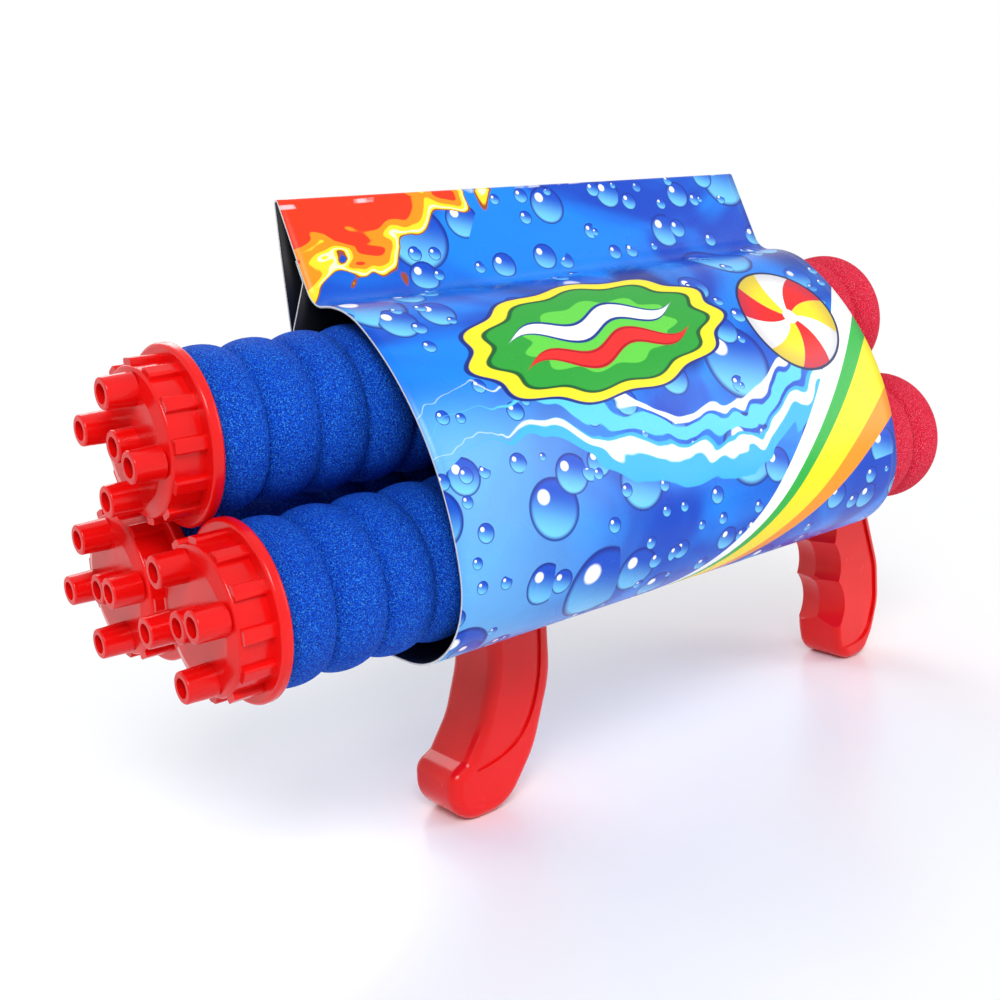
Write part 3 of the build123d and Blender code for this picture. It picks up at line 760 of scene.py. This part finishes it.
def walk_card(work, station, flare):
    """The end view of the card at one station. Flare is 1 at the mouth and 0 at the rear."""
    near, far, top = (
        sum(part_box(f"barrel_tube_{place}"), Vector()) / 2 for place in ("near", "far", "top")
    )
    for axis_point in (near, far, top):
        axis_point.x = station
    # The side arc and the points where it meets the barrel arcs
    outward = Vector((1, 0, 0)).cross(top - near).normalized()
    half_side = (top - near).length / 2
    bulge_r = (bulge**2 + half_side**2 - card_r**2) / (2 * (bulge - card_r))
    bulge_centre = (near + top) / 2 - outward * (bulge_r - bulge)
    near_meet = near + (near - bulge_centre).normalized() * card_r
    top_meet = top + (top - bulge_centre).normalized() * card_r
    # The header panel and the crease at its foot
    header_y = header_top_y + header_flare_y * flare
    header_z = near.z + header_top_z + header_flare_z * flare
    header_top = Vector((station, header_y, header_z))
    down = Vector((0, -sin(header_lean), -cos(header_lean)))
    side = Vector((0, down.z, -down.y))
    beside = header_top + side * crease_r - top
    lead = beside.dot(down)
    crease_drop = -lead - sqrt(lead**2 - beside.length_squared + (card_r + crease_r) ** 2)
    crease_centre = header_top + side * crease_r + down * crease_drop
    header_foot = header_top + down * crease_drop
    # The far wall, from the glue tab down to the far barrel, and the header's back panel
    tab_top = header_top + down * tab_start - side * (card_thickness + glued_gap)
    tab_foot = tab_top + down * tab_length
    from_far = tab_foot - far
    wall_turn = atan2(from_far.z, from_far.y) - acos(card_r / from_far.length)
    wall_out = Vector((0, cos(wall_turn), sin(wall_turn)))
    wall_end = far + wall_out * card_r
    wall_run = (wall_end - tab_foot).normalized()
    back_bend = Vector((station, back_bend_y + header_flare_y / 2 * flare, header_z - back_bend_drop))
    back_end = tab_foot + wall_run * ((near.z + back_end_z - tab_foot.z) / wall_run.z)
    back_end += wall_out * (card_thickness + glued_gap)

    first = tip = work.verts.new(tab_top)
    tip = run_to(work, tip, tab_foot)
    tip = run_to(work, tip, wall_end)
    tip = bend(work, tip, far, -wall_turn - pi / 2, 20)
    tip = run_to(work, tip, near - Vector((0, 0, card_r)))
    tip = bend(work, tip, near, swing(near_meet, near) - 1.5 * pi, 18)
    side_turn = swing(top_meet, bulge_centre) - swing(near_meet, bulge_centre)
    tip = bend(work, tip, bulge_centre, side_turn, 24)
    tip = bend(work, tip, top, swing(crease_centre, top) - swing(top_meet, top), 10)
    crease_turn = swing(header_foot, crease_centre) - swing(top, crease_centre)
    tip = bend(work, tip, crease_centre, (crease_turn + pi) % (2 * pi) - pi, 8)
    tip = corner(work, tip, header_top, back_bend, fold_r, 6)
    tip = corner(work, tip, back_bend, back_end, back_r, 6)
    run_to(work, tip, back_end)
    return first


print("card from", round(card_low.x, 4), "to", round(card_high.x, 4))

# %% [markdown]
# ## The card as a sheet
# The two end views are bridged and the long faces are split into short ones. Every point remembers its
# distance round the card, and splitting carries that number along. It becomes the UV, in metres, with
# the distance from the mouth, so the print is drawn on flat card, as it is before a real one is folded.

# %% Card sheet
work = bmesh.new()
run = work.verts.layers.float.new("run")
floor_line = card_low.z + card_thickness / 2
for station, flare in ((card_low.x, 1.0), (card_high.x, 0.0)):
    tip = walk_card(work, station, flare)
    chain = [tip]
    onward = [edge.other_vert(tip) for edge in tip.link_edges]
    while onward:
        reached = onward[0]
        reached[run] = tip[run] + (reached.co - tip.co).length
        chain.append(reached)
        beside_it = [edge.other_vert(reached) for edge in reached.link_edges]
        onward = [point for point in beside_it if point is not tip]
        tip = reached
    lowest = [point[run] for point in chain if abs(point.co.z - floor_line) < 1e-5]
    middle = sum(lowest) / len(lowest)
    for point in chain:
        point[run] -= middle
    print("points round the card:", len(chain), "length", round(chain[-1][run] - chain[0][run], 4))
bmesh.ops.bridge_loops(work, edges=work.edges[:])
long_edges = [e for e in work.edges if abs(e.verts[0].co.x - e.verts[1].co.x) > 0.01]
bmesh.ops.subdivide_edges(work, edges=long_edges, cuts=50, use_grid_fill=True)
print("card faces:", len(work.faces))

# %% [markdown]
# ## Slot for the front grip
# The grip's stem comes up through a slot in the underside. Four cuts with a plane follow the slot's
# edges, and only the faces between them are taken away. That keeps the card's long faces whole
# elsewhere, which a boolean wouldn't.

# %% Slot for the grip
slot_gap = 0.002
slot_reach = 0.0344
slot_half_width = 0.016
grip_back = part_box("front_grip_near_half")[1].x
slot_low = Vector((grip_back - slot_reach, -slot_half_width, 0))
slot_high = Vector((grip_back + slot_gap, slot_half_width, 0))


def underside():
    return [f for f in work.faces if abs(f.calc_center_median().z - floor_line) < 1e-4]


def in_slot(point):
    return slot_low.x < point.x < slot_high.x and slot_low.y < point.y < slot_high.y


for across in (Vector((1, 0, 0)), Vector((0, 1, 0))):
    for edge_at in (slot_low, slot_high):
        geom = list({part for f in underside() for part in (*f.verts, *f.edges, f)})
        bmesh.ops.bisect_plane(work, geom=geom, plane_co=edge_at, plane_no=across)
slot_faces = [f for f in underside() if in_slot(f.calc_center_median())]
bmesh.ops.delete(work, geom=slot_faces, context="FACES")
print("slot faces removed:", len(slot_faces))

# %% [markdown]
# ## Thickness and UVs
# The sheet's faces are turned outwards, and a solidify modifier gives it the thickness of real card.
# The same modifier hands the inner side and the cut edges their own materials, so the print stays on
# the outside alone.

# %% Card piece
print_map = work.loops.layers.uv.new("print")
for face in work.faces:
    for loop in face.loops:
        loop[print_map].uv = (loop.vert.co.x - card_low.x, loop.vert[run])
bmesh.ops.recalc_face_normals(work, faces=work.faces)
outer_face = min(work.faces, key=lambda f: f.calc_center_median().y)
if outer_face.normal.y > 0:
    bmesh.ops.reverse_faces(work, faces=work.faces)
mesh = smooth_mesh("printed_card_sheet", work)
card = link_piece(
    "printed_card_sheet", mesh, card_print, "barrels", "printed_card", "printed_sleeve"
)
mesh.materials.append(card_edge)
mesh.materials.append(card_inside)
solidify = card.modifiers.new("thickness", "SOLIDIFY")
solidify.thickness = card_thickness
solidify.offset = 0.0
solidify.material_offset = 2
solidify.material_offset_rim = 1
print("card sheet points:", len(mesh.vertices))

# %% [markdown]
# ## Floor
# A studio sweep has no horizon. Round the toy the floor is an ordinary pale, faintly glossy surface that
# takes its shadow, and further out it fades into plain white, the same white as the background. Only
# the camera and mirror rays see that white, so it throws no light on the toy.

# %% Floor
fade_from, fade_to = 0.20, 0.62
floor_finish, floor_shader = grained_finish(
    "studio_floor", 3.0, 2.0, (0.93, 0.93, 0.94, 1), (0.95, 0.95, 0.955, 1), 0.28
)[:2]
distance = node(floor_finish, "ShaderNodeVectorMath", Vector=object_place(floor_finish))
distance.operation = "LENGTH"
fade = step_up(floor_finish, distance.outputs["Value"], fade_from, fade_to)
faded = calc(floor_finish, "MULTIPLY", fade, looking_rays(floor_finish))
plain_white = node(floor_finish, "ShaderNodeEmission", Color=white, Strength=1.0)
surface = blend_shaders(floor_finish, faded, floor_shader.outputs[0], plain_white.outputs[0])
fill(floor_finish, floor_finish.node_tree.nodes["Material Output"], Surface=surface)
work = bmesh.new()
bmesh.ops.create_grid(work, x_segments=1, y_segments=1, size=6.0)
mesh = bpy.data.meshes.new("floor")
work.to_mesh(mesh)
work.free()
floor = bpy.data.objects.new("floor", mesh)
bpy.context.scene.collection.objects.link(floor)
mesh.materials.append(floor_finish)
